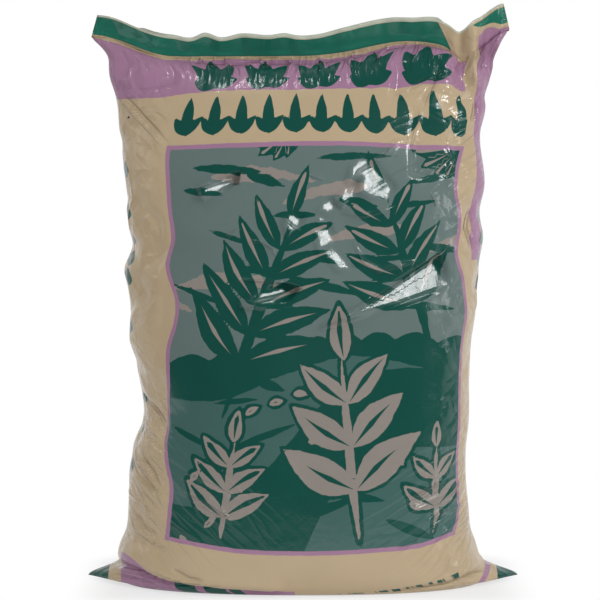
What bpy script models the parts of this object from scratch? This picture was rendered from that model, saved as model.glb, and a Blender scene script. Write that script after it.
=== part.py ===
"""A filled compost bag, standing on its bottom end.

The bag is a flat tube of plastic film, heat sealed across both ends and full of compost.
It stands with its bottom seal folded under, so two corners stick out at the floor as ears.
The top seal is a fin that leans forward over the front, with its corners drawn up.
Film and fill are one closed solid. It is made of rings stacked from the floor to the fin.
Sizes are in metres. Z is up, the printed front faces -Y, and the origin is on the floor
under the middle of the bag.
"""

import bpy
import numpy as np

# The film tube, laid flat.
FILM_WIDTH = 0.532

# Heights over the floor, at mid width, and the size of the fin.
SEAL_HEIGHT = 0.641
FIN_HEIGHT = 0.031
FIN_THICKNESS = 0.003
FIN_LEAN = 0.018
# What the fin's waves and the pleat at its right end take off each half of its width.
TAKEN_IN_LEFT = 0.0105
TAKEN_IN_RIGHT = 0.017
CORNER_RISE_LEFT = 0.026
CORNER_RISE_RIGHT = 0.034
CORNER_RUN_LEFT = 0.100
CORNER_RUN_RIGHT = 0.052
FIN_HUMP = 0.018
FIN_HUMP_AT = 0.128
FIN_HUMP_WIDTH = 0.070
FIN_DIP = 0.012
FIN_DIP_AT = 0.190
FIN_DIP_WIDTH = 0.012
# Two waves that bend the fin to and fro, as (depth, wavelength, place), and how much of its
# lean and of its width the corners lose.
FIN_WAVES = ((0.004, 0.185, 0.0), (0.0025, 0.0885, 0.0113))
CORNER_FROM = 0.70
CORNER_UPRIGHT = 0.7
CORNER_TAPER = 0.03
# How much higher the fin's free edge runs at some places: (x, rise).
FREE_EDGE = (
    (-0.160, 0.0), (-0.133, -0.0035), (-0.119, 0.002), (-0.099, -0.0035), (-0.075, 0.001),
    (-0.040, -0.001), (-0.020, 0.001), (0.016, -0.0014), (0.045, 0.0028), (0.103, 0.0039),
    (0.130, 0.0017), (0.161, 0.0053), (0.171, 0.0026), (0.190, 0.0), (0.202, 0.011),
    (0.219, 0.008), (0.242, 0.005),
)

# Front to back.
BELLY_DEPTH = 0.208
BELLY_HEIGHT = 0.200
CONTACT_DEPTH = 0.172
BASE_RADIUS = 0.050
ROOF_SWEEP = 3.2
ROOF_FULLNESS = 1.6
# How square the rings are at the belly, and how much of that they lose up to the seal, over
# the last part of the height.
BELLY_SQUARENESS = 2.35
SQUARENESS_LOST = 0.75
ROOF_FROM = 0.8
# The last part of the height that follows the seal's rise and dip.
LIFT_FROM = 0.86
# How the body's edges spread to the seal's ends.
SPREAD_POWER = 1.15

# The ears of the folded bottom seal.
EAR_HEIGHT = 0.006
EAR_FLARE = 0.0145
EAR_ROOT_DEPTH = 0.062
EAR_TAPER = 1.5

# Half of the seal's width to each side.
SEAL_LEFT = FILM_WIDTH / 2 - TAKEN_IN_LEFT
SEAL_RIGHT = FILM_WIDTH / 2 - TAKEN_IN_RIGHT

# Half widths, from the middle to each side's edge, as (height, half width) up to the seal.
LEFT_EDGE = (
    (0.000, 0.2220), (0.048, 0.2215), (0.068, 0.2165), (0.109, 0.2125), (0.149, 0.2095),
    (0.179, 0.2020), (0.198, 0.1957), (0.218, 0.1943), (0.238, 0.1980), (0.278, 0.2060),
    (0.317, 0.2107), (0.357, 0.2116), (0.386, 0.2138), (0.416, 0.2062), (0.435, 0.2097),
    (0.455, 0.2130), (0.513, 0.2176), (0.552, 0.2209), (0.590, 0.2265), (0.603, 0.2324),
    (0.617, 0.2334), (0.641, SEAL_LEFT),
)
RIGHT_EDGE = (
    (0.000, 0.2190), (0.048, 0.2117), (0.068, 0.2054), (0.089, 0.2027), (0.159, 0.1980),
    (0.198, 0.2018), (0.258, 0.2026), (0.298, 0.2047), (0.337, 0.2092), (0.357, 0.2079),
    (0.396, 0.2124), (0.425, 0.2170), (0.455, 0.2131), (0.484, 0.2189), (0.552, 0.2135),
    (0.580, 0.2192), (0.588, 0.2179), (0.600, 0.2230), (0.614, 0.2273), (0.641, SEAL_RIGHT),
)

# Gathers under the fin.
GATHER_PITCH = 0.046
GATHER_DEPTH = 0.0045
GATHER_REACH = 0.050
# The gathers wander along the fin: (reach, wavelength, place).
GATHER_WANDER = ((0.0088, 0.270, 0.0), (0.0059, 0.154, 0.0245))
# Folds fade out where the bag is thinner than this.
FOLD_ROOM = 0.04

# Folds in the film: (side, x and height of one end, x and height of the other, width, rise).
# A fold with a rise below zero is a groove. Front folds are seen from the front, back folds
# from the back, each with x to the viewer's right.
FRONT, BACK = -1, 1
FOLDS = (
    (FRONT, -0.225, 0.598, -0.165, 0.530, 0.010, 0.005),
    (FRONT, -0.205, 0.571, -0.180, 0.490, 0.009, -0.004),
    (FRONT, -0.130, 0.465, -0.050, 0.490, 0.016, 0.004),
    (FRONT, -0.090, 0.410, 0.020, 0.435, 0.018, -0.004),
    (FRONT, 0.020, 0.480, 0.035, 0.384, 0.016, 0.007),
    (FRONT, 0.060, 0.455, 0.080, 0.410, 0.022, -0.008),
    (FRONT, 0.035, 0.326, 0.175, 0.399, 0.015, 0.007),
    (FRONT, 0.070, 0.308, 0.190, 0.354, 0.018, -0.005),
    (FRONT, 0.125, 0.571, 0.060, 0.490, 0.014, 0.005),
    (FRONT, 0.205, 0.619, 0.200, 0.530, 0.011, -0.006),
    (FRONT, 0.185, 0.610, 0.190, 0.460, 0.012, 0.004),
    (FRONT, 0.200, 0.045, 0.060, 0.153, 0.013, 0.005),
    (FRONT, 0.200, 0.061, 0.110, 0.195, 0.012, 0.004),
    (FRONT, 0.195, 0.035, 0.040, 0.086, 0.013, -0.004),
    (FRONT, -0.195, 0.195, -0.090, 0.086, 0.013, 0.005),
    (FRONT, -0.200, 0.158, -0.120, 0.076, 0.011, -0.004),
    (FRONT, -0.200, 0.128, -0.130, 0.056, 0.011, 0.004),
    (FRONT, -0.205, 0.056, -0.050, 0.022, 0.012, -0.005),
    (BACK, -0.200, 0.600, -0.100, 0.510, 0.014, 0.005),
    (BACK, 0.190, 0.571, 0.080, 0.450, 0.016, -0.005),
    (BACK, -0.100, 0.430, 0.060, 0.379, 0.020, 0.006),
    (BACK, 0.030, 0.530, 0.050, 0.410, 0.018, 0.005),
    (BACK, -0.180, 0.338, -0.060, 0.267, 0.018, -0.005),
    (BACK, 0.180, 0.308, 0.040, 0.226, 0.018, 0.006),
    (BACK, -0.200, 0.051, -0.070, 0.163, 0.013, 0.005),
    (BACK, 0.200, 0.051, 0.090, 0.143, 0.013, 0.005),
    (BACK, 0.195, 0.122, 0.100, 0.205, 0.012, -0.004),
)

# How finely the film is divided.
POINTS_ROUND = 112
BODY_RINGS = 33
BASE_RINGS = 7
ROOF_RINGS = 6
ROOF_RINGS_FROM = 0.92
FIN_RINGS = 3
OUTLINE_SAMPLES = 400

FILM_COLOUR = (0.50, 0.40, 0.26)
FILM_ROUGHNESS = 0.28


def smooth_step(value):
    """0 below 0, 1 above 1, and a smooth rise between them."""
    share = np.clip(value, 0.0, 1.0)
    return share * share * (3.0 - 2.0 * share)


def bell(distance, width):
    return np.exp(-((distance / width) ** 2))


def smooth_curve(at, stations):
    """A smooth line through (place, value) stations, level at both ends: each piece is a
    cubic whose slopes are those between its neighbours."""
    place, value = np.array(stations).T
    slope = np.gradient(value, place)
    slope[[0, -1]] = 0.0
    at = np.clip(at, place[0], place[-1])
    piece = np.clip(np.searchsorted(place, at) - 1, 0, len(place) - 2)
    run = place[piece + 1] - place[piece]
    t = (at - place[piece]) / run
    start = (1.0 + 2.0 * t) * (1.0 - t) ** 2 * value[piece]
    leave = t * (1.0 - t) ** 2 * run * slope[piece]
    end = t * t * (3.0 - 2.0 * t) * value[piece + 1]
    arrive = t * t * (t - 1.0) * run * slope[piece + 1]
    return start + leave + end + arrive


def half_depth(height):
    """Half of the bag's depth: rounded up from the contact patch, widest at the belly, and
    drawn in to the fin's thickness at the seal."""
    rounding = 1.0 - (1.0 - np.clip(height / BASE_RADIUS, 0.0, 1.0)) ** 2
    foot = CONTACT_DEPTH / 2 + (BELLY_DEPTH - CONTACT_DEPTH) / 2 * np.sqrt(rounding)
    upper = np.clip((height - BELLY_HEIGHT) / (SEAL_HEIGHT - BELLY_HEIGHT), 0.0, 1.0)
    roof = (1.0 - upper**ROOF_SWEEP) ** (1.0 / ROOF_FULLNESS)
    return FIN_THICKNESS / 2 + (foot - FIN_THICKNESS / 2) * roof


def half_widths(height):
    """Half of the bag's width to its left and to its right. Both spread to the seal's
    width at the top."""
    sides = []
    for edge in (LEFT_EDGE, RIGHT_EDGE):
        (spread_from, _), (top, seal) = edge[-2:]
        at = height / SEAL_HEIGHT * top
        body = smooth_curve(at, edge[:-1])
        spread = smooth_step((at - spread_from) / (top - spread_from)) ** SPREAD_POWER
        sides.append(body + (seal - body) * spread)
    return sides


def ear_reach(height, body_half_width):
    """How far the ears stand out past the body at this height."""
    full = FILM_WIDTH / 2 - body_half_width
    below = smooth_step(height / EAR_HEIGHT)
    above = bell(np.maximum(height - EAR_HEIGHT, 0.0), EAR_FLARE)
    return full * below * above


def outline(left, right, depth, power):
    """POINTS_ROUND points round one ring, evenly spaced along it, from the front's middle
    towards +X: a superellipse of the given half sizes."""
    angle = np.linspace(0.0, np.pi / 2, OUTLINE_SAMPLES)
    across = np.sin(angle) ** (2.0 / power)
    forward = np.cos(angle) ** (2.0 / power)
    quarter = POINTS_ROUND // 4
    halves = []
    for half_width in (right, left):
        x, y = half_width * across, depth * forward
        length = np.concatenate([[0.0], np.cumsum(np.hypot(np.diff(x), np.diff(y)))])
        wanted = np.linspace(0.0, length[-1], quarter + 1)
        halves.append((np.interp(wanted, length, x), np.interp(wanted, length, y)))
    (right_x, right_y), (left_x, left_y) = halves
    x = np.concatenate([right_x, right_x[-2::-1], -left_x[1:], -left_x[-2:0:-1]])
    y = np.concatenate([-right_y, right_y[-2::-1], left_y[1:], -left_y[-2:0:-1]])
    return x, y


def seal_rise(x):
    """How much higher the seal runs at x than at mid width: its corners are drawn up, and
    right of the middle it has a hump and then a dip."""
    left = CORNER_RISE_LEFT * smooth_step((-x - SEAL_LEFT) / CORNER_RUN_LEFT + 1.0)
    right = CORNER_RISE_RIGHT * smooth_step((x - SEAL_RIGHT) / CORNER_RUN_RIGHT + 1.0)
    hump = FIN_HUMP * bell(x - FIN_HUMP_AT, FIN_HUMP_WIDTH)
    dip = FIN_DIP * bell(x - FIN_DIP_AT, FIN_DIP_WIDTH)
    return left + right + hump - dip


def fold_rise(x, height, side):
    """The folds' rise over the smooth film: each is a soft ridge along its own line that
    fades out at both ends."""
    total = np.zeros_like(x)
    for fold_side, x0, z0, x1, z1, width, rise in FOLDS:
        seen_x = -fold_side * x
        along = np.array([x1 - x0, z1 - z0])
        length = np.hypot(*along)
        along = along / length
        run = (seen_x - x0) * along[0] + (height - z0) * along[1]
        off = (seen_x - x0) * along[1] - (height - z0) * along[0]
        ends = smooth_step(run / length * 3.0) * smooth_step((length - run) / length * 3.0)
        total += np.where(side == fold_side, rise * ends * bell(off, width), 0.0)
    return total


def gather_rise(x, height):
    """Upright gathers under the fin, which fade down the film."""
    wander = sum(
        reach * np.sin(2 * np.pi * (x + place) / length) for reach, length, place in GATHER_WANDER
    )
    fade = np.exp(-np.maximum(SEAL_HEIGHT - height, 0.0) / GATHER_REACH)
    near_seal = smooth_step((SEAL_HEIGHT - height) / GATHER_REACH * 4.0)
    return GATHER_DEPTH * np.cos(2 * np.pi * (x + wander) / GATHER_PITCH) * fade * near_seal


def body_ring(height):
    """One ring of the filled part of the bag."""
    left, right = half_widths(height)
    depth = half_depth(height)
    share = height / SEAL_HEIGHT
    power = BELLY_SQUARENESS - SQUARENESS_LOST * smooth_step((share - ROOF_FROM) / (1.0 - ROOF_FROM))
    x, y = outline(left, right, depth, power)
    side = np.where(y > 0, BACK, FRONT)
    openness = np.clip(np.abs(y) / depth, 0.0, 1.0)
    away = smooth_step(openness * 2.0) * smooth_step(height / BASE_RADIUS)
    room = smooth_step(depth / FOLD_ROOM)
    y = y + side * away * room * (fold_rise(x, height, side) + gather_rise(x, height))
    half_width = np.where(x > 0, right, left)
    tongue = np.clip(1.0 - np.abs(y) / EAR_ROOT_DEPTH, 0.0, 1.0) ** EAR_TAPER
    x = x + np.sign(x) * ear_reach(height, half_width) * tongue
    lift = smooth_step((share - LIFT_FROM) / (1.0 - LIFT_FROM))
    z = height + seal_rise(x) * lift
    return np.stack([x, y, z], axis=1)


def fin_ring(share):
    """One ring of the fin, share of the way from the seal's foot to its free edge."""
    x, y = outline(SEAL_LEFT, SEAL_RIGHT, FIN_THICKNESS / 2, BELLY_SQUARENESS - SQUARENESS_LOST)
    wave = sum(depth * np.sin(2 * np.pi * (x + place) / length) for depth, length, place in FIN_WAVES)
    corner = smooth_step((np.abs(x) / SEAL_LEFT - CORNER_FROM) / (1.0 - CORNER_FROM))
    rise = np.sqrt(FIN_HEIGHT**2 - FIN_LEAN**2) + smooth_curve(x, FREE_EDGE)
    z = SEAL_HEIGHT + seal_rise(x) + rise * share
    x = x * (1.0 - CORNER_TAPER * share * corner)
    y = y - FIN_LEAN * share * (1.0 - CORNER_UPRIGHT * corner) + wave * share
    return np.stack([x, y, z], axis=1)


def ring_stack():
    """All rings from the floor up, as an array of ring, point, coordinate."""
    base = BASE_RADIUS * (1.0 - np.cos(np.linspace(0.0, np.pi / 2, BASE_RINGS + 1)))
    roof_from = ROOF_RINGS_FROM * SEAL_HEIGHT
    body = np.linspace(BASE_RADIUS, roof_from, BODY_RINGS + 1)[1:]
    turn = np.linspace(0.0, np.pi / 2, ROOF_RINGS + 1)[1:]
    roof = roof_from + (SEAL_HEIGHT - roof_from) * np.sin(turn)
    heights = np.concatenate([base, body, roof])
    rings = [body_ring(height) for height in heights]
    rings[0][:, 2] = 0.0
    rings += [fin_ring(share) for share in np.linspace(0.0, 1.0, FIN_RINGS + 1)[1:]]
    return np.array(rings)


def film_faces(count):
    """Quads between the rings, and a strip of quads across the floor patch and across the
    fin's free edge."""
    faces = []
    for ring in range(count - 1):
        low, high = ring * POINTS_ROUND, (ring + 1) * POINTS_ROUND
        for point in range(POINTS_ROUND):
            following = (point + 1) % POINTS_ROUND
            faces.append((low + point, low + following, high + following, high + point))
    quarter, half = POINTS_ROUND // 4, POINTS_ROUND // 2
    top = (count - 1) * POINTS_ROUND
    for step in range(-quarter, quarter):
        front = (step % POINTS_ROUND, (step + 1) % POINTS_ROUND)
        back = ((half - step) % POINTS_ROUND, (half - step - 1) % POINTS_ROUND)
        strip = list(dict.fromkeys((front[0], back[0], back[1], front[1])))
        faces.append(tuple(strip))
        faces.append(tuple(top + point for point in reversed(strip)))
    return faces


def film_material():
    material = bpy.data.materials.new("printed_film")
    material.use_nodes = True
    shader = material.node_tree.nodes["Principled BSDF"]
    shader.inputs["Base Color"].default_value = (*FILM_COLOUR, 1.0)
    shader.inputs["Roughness"].default_value = FILM_ROUGHNESS
    shader.inputs["Metallic"].default_value = 0.0
    return material


def compost_bag():
    rings = ring_stack()
    mesh = bpy.data.meshes.new("compost_bag")
    mesh.from_pydata(rings.reshape(-1, 3).tolist(), [], film_faces(len(rings)))
    mesh.update()
    mesh.shade_smooth()
    mesh.materials.append(film_material())
    bag = bpy.data.objects.new("compost_bag", mesh)
    bpy.context.scene.collection.objects.link(bag)
    return bag


for item in list(bpy.data.objects):
    bpy.data.objects.remove(item)
compost_bag()
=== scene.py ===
# %% [markdown]
# # A filled compost bag
#
# The object is a flat tube of glossy printed plastic film, heat sealed across both ends and
# full of compost. It stands on its folded bottom end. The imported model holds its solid; this
# script gives it its film: the wrinkles, the print and the gloss.
#
# Sizes are in metres. Z is up, the printed front faces -Y, and X runs to the viewer's right.

import math
import time

import bpy
import numpy as np
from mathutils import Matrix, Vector


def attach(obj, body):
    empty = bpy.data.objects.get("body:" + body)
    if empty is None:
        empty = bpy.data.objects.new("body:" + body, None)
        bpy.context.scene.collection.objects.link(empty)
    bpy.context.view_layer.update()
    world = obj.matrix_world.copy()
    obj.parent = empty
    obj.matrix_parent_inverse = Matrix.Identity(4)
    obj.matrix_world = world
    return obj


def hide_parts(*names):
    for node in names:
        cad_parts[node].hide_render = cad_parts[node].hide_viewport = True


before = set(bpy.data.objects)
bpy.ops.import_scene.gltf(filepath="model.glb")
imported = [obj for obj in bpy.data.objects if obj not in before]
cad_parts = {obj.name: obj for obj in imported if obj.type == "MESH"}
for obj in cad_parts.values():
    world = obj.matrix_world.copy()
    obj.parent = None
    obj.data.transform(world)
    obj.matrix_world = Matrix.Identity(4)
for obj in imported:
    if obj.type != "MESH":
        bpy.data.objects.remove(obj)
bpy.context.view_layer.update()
print("packed nodes:", sorted(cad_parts))

# %% [markdown]
# ## The camera
#
# The photograph was taken from straight in front with a long lens, a little above the bag's
# middle. A far camera with a narrow view keeps the sides of the bag nearly parallel, as they
# are there.

# %% Camera
CAMERA_PLACE = Vector((-0.0037, -2.5, 0.60))
CAMERA_AIM = Vector((-0.0037, 0.0, 0.347))
LENS_MM = 123.24

camera = bpy.data.objects.new("camera", bpy.data.cameras.new("camera"))
bpy.context.scene.collection.objects.link(camera)
camera.data.lens = LENS_MM
camera.location = CAMERA_PLACE
camera.rotation_euler = (CAMERA_AIM - CAMERA_PLACE).to_track_quat("-Z", "Y").to_euler()
bpy.context.scene.camera = camera
drop, reach = CAMERA_PLACE.z - CAMERA_AIM.z, CAMERA_AIM.y - CAMERA_PLACE.y
print("camera looks down by", round(math.degrees(math.atan2(drop, reach)), 2), "degrees")

# %% [markdown]
# ## The shape of the filled film
#
# A filled tube could be sculpted, or blown up by a cloth simulation. Here it is a function of
# two parameters, the film's height and the place round it, because its side edges and its
# depth are then plain numbers: half widths read from the outline, and a depth that swells from
# the foot to the belly and is drawn in to nothing at the seal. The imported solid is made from
# the same numbers.

# %% Sizes of the bag
FILM_WIDTH = 0.532
FILM_THICKNESS = 0.0012
SEAL_HEIGHT = 0.641
SEAL_LEFT = 0.2555
SEAL_RIGHT = 0.249
FIN_HEIGHT = 0.031
FIN_LEAN = 0.018
CORNER_RISE_LEFT = 0.026
CORNER_RISE_RIGHT = 0.034
CORNER_RUN_LEFT = 0.100
CORNER_RUN_RIGHT = 0.052
BELLY_DEPTH = 0.208
BELLY_HEIGHT = 0.200
CONTACT_DEPTH = 0.172
BASE_ROUND = 0.050
ROOF_SWEEP, ROOF_FULLNESS = 3.2, 1.6
EAR_HEIGHT = 0.006
EAR_FLARE = 0.0145
EAR_ROOT_DEPTH = 0.062
# (x, rise, width) of the hump and the dip that the seal runs over beside the right corner
SEAL_HUMP = (0.128, 0.018, 0.070)
SEAL_DIP = (0.190, -0.012, 0.012)

# (share of the seal's height, half width there)
LEFT_EDGE = (
    (0.000, 0.2220), (0.075, 0.2215), (0.106, 0.2165), (0.170, 0.2125), (0.232, 0.2095),
    (0.279, 0.2020), (0.309, 0.1957), (0.340, 0.1943), (0.371, 0.1980), (0.434, 0.2060),
    (0.495, 0.2107), (0.557, 0.2116), (0.602, 0.2138), (0.649, 0.2062), (0.679, 0.2097),
    (0.710, 0.2130), (0.800, 0.2176), (0.861, 0.2209), (0.920, 0.2265), (0.941, 0.2324),
    (0.9625, 0.2334),
)
RIGHT_EDGE = (
    (0.000, 0.2190), (0.075, 0.2117), (0.106, 0.2054), (0.139, 0.2027), (0.248, 0.1980),
    (0.309, 0.2018), (0.402, 0.2026), (0.465, 0.2047), (0.526, 0.2092), (0.557, 0.2079),
    (0.618, 0.2124), (0.663, 0.2170), (0.710, 0.2131), (0.755, 0.2189), (0.861, 0.2135),
    (0.905, 0.2192), (0.917, 0.2179), (0.936, 0.2230), (0.9575, 0.2273),
)

# (x, how much higher the fin's free edge runs there)
FREE_EDGE = (
    (-0.160, 0.0), (-0.133, -0.0035), (-0.1186, 0.002), (-0.099, -0.0035), (-0.075, 0.001),
    (-0.040, -0.001), (-0.020, 0.001), (-0.0097, -0.0013), (0.0157, -0.0014), (0.045, 0.0028),
    (0.103, 0.0039), (0.130, 0.0017), (0.161, 0.0053), (0.171, 0.0046), (0.184, 0.0070),
    (0.193, 0.012), (0.202, 0.014), (0.219, 0.009), (0.242, 0.005),
)
print(f"flat film {FILM_WIDTH * 1000:.0f} mm wide, seal {SEAL_HEIGHT * 1000:.0f} mm up")

# %% Curves


def smooth_step(value):
    """0 below 0, 1 above 1, and 3s^2 - 2s^3 between them."""
    share = np.clip(value, 0.0, 1.0)
    return share * share * (3.0 - 2.0 * share)


def bell(distance, width):
    """e to the minus (distance / width) squared."""
    return np.exp(-((distance / width) ** 2))


def smooth_curve(at, stations):
    """A line through (place, value) stations that is level at both ends. Each piece is a
    cubic from value to value with the slopes of its neighbours."""
    place, value = np.array(stations).T
    slope = np.gradient(value, place)
    slope[[0, -1]] = 0.0
    at = np.clip(at, place[0], place[-1])
    piece = np.clip(np.searchsorted(place, at) - 1, 0, len(place) - 2)
    run = place[piece + 1] - place[piece]
    t = (at - place[piece]) / run
    start = (1.0 + 2.0 * t) * (1.0 - t) ** 2 * value[piece]
    leave = t * (1.0 - t) ** 2 * run * slope[piece]
    end = t * t * (3.0 - 2.0 * t) * value[piece + 1]
    arrive = t * t * (t - 1.0) * run * slope[piece + 1]
    return start + leave + end + arrive


def half_depth(height):
    """Half of the depth at a height: a quarter ellipse up from the contact patch, then a
    falling superellipse, (1 - s^sweep)^(1 / fullness), from the belly to the seal."""
    rounding = 1.0 - (1.0 - np.clip(height / BASE_ROUND, 0.0, 1.0)) ** 2
    foot = CONTACT_DEPTH / 2 + (BELLY_DEPTH - CONTACT_DEPTH) / 2 * np.sqrt(rounding)
    upper = np.clip((height - BELLY_HEIGHT) / (SEAL_HEIGHT - BELLY_HEIGHT), 0.0, 1.0)
    roof = (1.0 - upper**ROOF_SWEEP) ** (1.0 / ROOF_FULLNESS)
    return FILM_THICKNESS / 2 + (foot - FILM_THICKNESS / 2) * roof


def half_width(height, edge, seal):
    """The edge's stations below, and a smooth spread to the seal's half width above them."""
    share = height / SEAL_HEIGHT
    body = smooth_curve(share, edge)
    spread = smooth_step((share - edge[-1][0]) / (1.0 - edge[-1][0])) ** 1.15
    return body + (seal - body) * spread


def seal_rise(x):
    """How much higher the seal runs at x: two drawn-up corners, a hump and a dip."""
    left = CORNER_RISE_LEFT * smooth_step((-x - SEAL_LEFT) / CORNER_RUN_LEFT + 1.0)
    right = CORNER_RISE_RIGHT * smooth_step((x - SEAL_RIGHT) / CORNER_RUN_RIGHT + 1.0)
    rises = left + right
    for place, rise, width in (SEAL_HUMP, SEAL_DIP):
        rises += rise * bell(x - place, width)
    return rises


def outline(left, right, depth, power, points):
    """One superellipse for each ring, |x/a|^p + |y/b|^p = 1, with its points spread evenly
    along the line, from the front's middle towards +X."""
    angle = np.linspace(0.0, np.pi / 2, 900)
    across = np.sin(angle) ** (2.0 / power[:, None])
    forward = np.cos(angle) ** (2.0 / power[:, None])
    rows = 2.0 * np.arange(len(depth))[:, None]
    wanted = np.linspace(0.0, 1.0, points // 4 + 1) + rows
    quarters = []
    for half in (right, left):
        x, y = half[:, None] * across, depth[:, None] * forward
        run = np.hypot(np.diff(x, axis=1), np.diff(y, axis=1)).cumsum(axis=1)
        share = np.hstack([np.zeros((len(run), 1)), run / run[:, -1:]]) + rows
        for line in (x, y):
            even = np.interp(wanted.ravel(), share.ravel(), line.ravel())
            quarters.append(even.reshape(wanted.shape))
    right_x, right_y, left_x, left_y = quarters
    x = np.hstack([right_x, right_x[:, -2::-1], -left_x[:, 1:], -left_x[:, -2:0:-1]])
    y = np.hstack([-right_y, right_y[:, -2::-1], left_y[:, 1:], -left_y[:, -2:0:-1]])
    return x, y


corner_rise = float(seal_rise(np.array([SEAL_RIGHT]))[0])
print(f"the seal's right corner is drawn up by {corner_rise * 1000:.1f} mm")

# %% The filled part and the fin
POINTS_ROUND = 360
SPACING = 0.00296


def film_body():
    """Rings of the filled part, from the floor to the seal."""
    fine = np.linspace(0.0, SEAL_HEIGHT, 4000)
    run = np.hypot(np.diff(half_depth(fine)), np.diff(fine)).cumsum()
    run = np.concatenate([[0.0], run])
    rings = int(round(run[-1] / SPACING))
    height = np.interp(np.linspace(0.0, run[-1], rings + 1), run, fine)
    left = half_width(height, LEFT_EDGE, SEAL_LEFT)
    right = half_width(height, RIGHT_EDGE, SEAL_RIGHT)
    power = 2.35 - 0.75 * smooth_step((height / SEAL_HEIGHT - 0.8) / 0.2)
    x, y = outline(left, right, half_depth(height), power, POINTS_ROUND)
    side = np.where(x > 0, right[:, None], left[:, None])
    tongue = np.clip(1.0 - np.abs(y) / EAR_ROOT_DEPTH, 0.0, 1.0) ** 1.5
    reach = smooth_step(height / EAR_HEIGHT) * bell(np.maximum(height - EAR_HEIGHT, 0.0), EAR_FLARE)
    x = x + np.sign(x) * (FILM_WIDTH / 2 - side) * reach[:, None] * tongue
    lift = smooth_step((height / SEAL_HEIGHT - 0.86) / 0.14)[:, None]
    return np.stack([x, y, height[:, None] + seal_rise(x) * lift], axis=2)


def film_fin():
    """Rings of the fin: two layers of film that lean forward and wave."""
    rings = int(round(FIN_HEIGHT / SPACING))
    share = np.linspace(0.0, 1.0, rings + 1)[1:, None]
    one = np.ones(rings)
    left, right, depth = SEAL_LEFT * one, SEAL_RIGHT * one, FILM_THICKNESS / 2 * one
    x, y = outline(left, right, depth, 1.6 * one, POINTS_ROUND)
    rear = y > 0
    wave = 0.004 * np.sin(x * 34.0) + 0.0025 * np.sin(x * 71.0 + 0.8)
    wave += 0.0011 * np.sin(x * 190.0 + 2.0 * np.sin(x * 23.0)) + 0.0007 * np.sin(x * 330.0 + 1.0)
    corner = smooth_step((np.abs(x) - 0.70 * SEAL_LEFT) / (0.30 * SEAL_LEFT))
    rise = np.sqrt(FIN_HEIGHT**2 - FIN_LEAN**2)
    z = SEAL_HEIGHT + seal_rise(x) + (rise + smooth_curve(x, FREE_EDGE)) * share
    lip = 0.0028 * smooth_step((0.17 - x) / 0.01) * smooth_step((x + 0.20) / 0.01)
    z += np.where(rear, lip * share**3, 0.0)
    y = y - FIN_LEAN * share * (1.0 - 0.7 * corner) + wave * share
    roll = 0.0026 * (1.0 + 0.5 * np.sin(x * 120.0 + np.sin(x * 47.0)))
    y -= np.where(rear, 0.0, roll * bell(share - 0.13, 0.11))
    x = x * (1.0 - 0.03 * share * corner)
    return np.stack([x, y, z], axis=2)


body, fin = film_body(), film_fin()
print("filled part:", len(body), "rings; fin:", len(fin), "rings")

# %% The pleats beside the right corner
# (width, how far it comes forward, then the points (x, z) of its line), millimetres first
PLEATS = (
    (7.0, 8.0, (0.215, 0.700), (0.206, 0.672), (0.205, 0.640), (0.209, 0.590)),
    (4.0, -7.0, (0.214, 0.664), (0.213, 0.640), (0.211, 0.622)),
    (5.0, -6.0, (0.190, 0.690), (0.190, 0.655), (0.193, 0.635)),
    (6.0, -4.0, (0.226, 0.660), (0.222, 0.620), (0.222, 0.590)),
    (4.0, 4.0, (0.236, 0.680), (0.232, 0.640), (0.226, 0.600)),
)


def line_gap(across, up, line):
    """How far each point lies to the left of a line of points, less than 0 to its right, and a
    fade that is 0 at the line's two ends and 1 between them."""
    points = np.array(line)
    piece_length = np.linalg.norm(np.diff(points, axis=0), axis=1)
    gap = np.full(across.shape, np.inf)
    place = np.zeros(across.shape)
    before = 0.0
    for start, end, length in zip(points[:-1], points[1:], piece_length):
        way = (end - start) / length
        run = np.clip((across - start[0]) * way[0] + (up - start[1]) * way[1], 0.0, length)
        off_across, off_up = across - start[0] - run * way[0], up - start[1] - run * way[1]
        side = np.where(off_up * way[0] < off_across * way[1], -1.0, 1.0)
        here = side * np.hypot(off_across, off_up)
        nearer = np.abs(here) < np.abs(gap)
        place = np.where(nearer, before + run, place)
        gap = np.where(nearer, here, gap)
        before += length
    place = place / piece_length.sum()
    return gap, smooth_step(place / 0.3) * smooth_step((1.0 - place) / 0.3)


def line_bell(across, up, line, width):
    """How near each point is to a line of points, as a bell across it that fades to its ends."""
    gap, fade = line_gap(across, up, line)
    return bell(gap, width) * fade


def pleated(film):
    """The film with the pleats beside its right corner: both layers of the fin move forward
    together, and below the seal only the front does."""
    x, y, z = np.moveaxis(film, 2, 0)
    both = smooth_step((z - SEAL_HEIGHT - seal_rise(x) + 0.012) / 0.012)
    moved = np.maximum(both, y < 0)
    for width, forward, *line in PLEATS:
        y = y - line_bell(x, z, line, width / 1000) * forward / 1000 * moved
    return np.stack([x, y, z], axis=2)


smooth_film = pleated(np.concatenate([body, fin]))
print("pleats laid:", len(PLEATS))

# %% The film's own coordinates: u runs round from the front's middle, v up from the floor
SEAL_RING = len(body) - 1
RINGS = len(smooth_film)
index = np.arange(POINTS_ROUND)
index = np.where(index <= POINTS_ROUND // 2, index, index - POINTS_ROUND)
ring_step = np.linalg.norm(np.diff(smooth_film, axis=0), axis=2)
up = np.maximum(np.percentile(ring_step, 90, axis=1), ring_step[:, 0]).cumsum()
U = np.broadcast_to(index / POINTS_ROUND * 2 * FILM_WIDTH, (RINGS, POINTS_ROUND))
V = np.broadcast_to(np.concatenate([[0.0], up])[:, None], (RINGS, POINTS_ROUND))
print("film grid:", RINGS, "by", POINTS_ROUND, "points; film height", round(float(V[-1, 0]), 4))

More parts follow.
